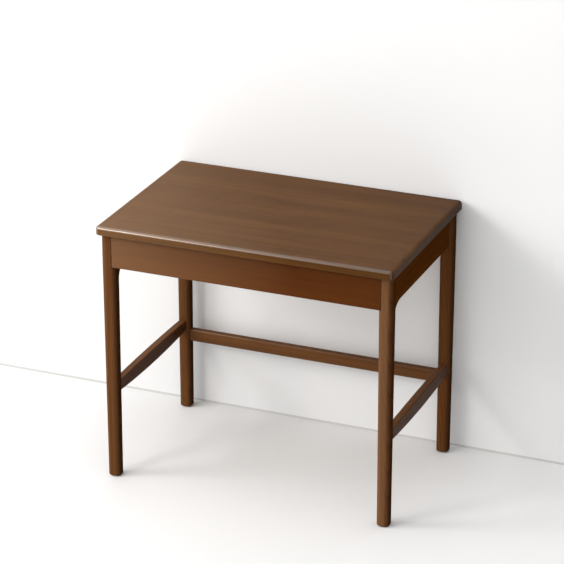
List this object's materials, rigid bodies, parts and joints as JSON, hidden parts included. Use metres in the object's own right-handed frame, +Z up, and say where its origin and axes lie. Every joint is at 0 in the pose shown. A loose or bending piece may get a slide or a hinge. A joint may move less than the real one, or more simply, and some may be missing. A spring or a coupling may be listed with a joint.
{
  "type": "sewing table",
  "caption": "Small wooden sewing table with a lipped top, tapered rounded legs, curved side brackets, stretchers and a full-width drawer.",
  "frame": {"origin": "on the floor, under the middle of the top", "axes": "+X to the right of someone facing the drawer, +Y to the back, +Z up; the drawer opens along -Y"},
  "size_m": [0.812, 0.535, 0.72],
  "materials": {
    "top_veneer": "worn satin varnish over brown veneer",
    "lipping_wood": "worn satin varnish, rubbed lighter on the edges",
    "leg_wood": "satin varnish",
    "apron_wood": "satin varnish, dark stain",
    "stretcher_wood": "satin varnish",
    "drawer_front_wood": "satin varnish over reddish brown veneer",
    "drawer_box_wood": "unvarnished pale hardwood",
    "drawer_bottom_ply": "thin plywood, bare",
    "inner_wood": "bare hardwood",
    "screw_steel": "dull zinc plating",
    "glide_plastic": "matt"
  },
  "bodies": {
    "frame": {"top_panel": "top_veneer", "lipping_front": "lipping_wood", "lipping_back": "lipping_wood", "lipping_left": "lipping_wood", "lipping_right": "lipping_wood", "leg_front_left": "leg_wood", "leg_front_right": "leg_wood", "leg_back_left": "leg_wood", "leg_back_right": "leg_wood", "side_apron_left": "apron_wood", "side_apron_right": "apron_wood", "back_apron": "apron_wood", "side_stretcher_left": "stretcher_wood", "side_stretcher_right": "stretcher_wood", "back_stretcher": "stretcher_wood", "front_top_rail": "inner_wood", "back_cleat": "inner_wood", "drawer_runner_left": "inner_wood", "drawer_runner_right": "inner_wood", "drawer_guide_left": "inner_wood", "drawer_guide_right": "inner_wood", "drawer_kicker_left": "inner_wood", "drawer_kicker_right": "inner_wood", "drawer_stop_left": "inner_wood", "drawer_stop_right": "inner_wood", "top_screws": "screw_steel", "runner_screws": "screw_steel", "glide_front_left": "glide_plastic", "glide_front_right": "glide_plastic", "glide_back_left": "glide_plastic", "glide_back_right": "glide_plastic"},
    "drawer": {"drawer_front": "drawer_front_wood", "drawer_side_left": "drawer_box_wood", "drawer_side_right": "drawer_box_wood", "drawer_back": "drawer_box_wood", "drawer_bottom": "drawer_bottom_ply", "divider_long": "drawer_box_wood", "divider_cross_left": "drawer_box_wood", "divider_cross_right": "drawer_box_wood"}
  },
  "joints": [
    {"name": "drawer_slide", "type": "slide", "parent": "frame", "child": "drawer", "axis": [0, -1, 0], "range_m": [0, 0.3]}
  ]
}
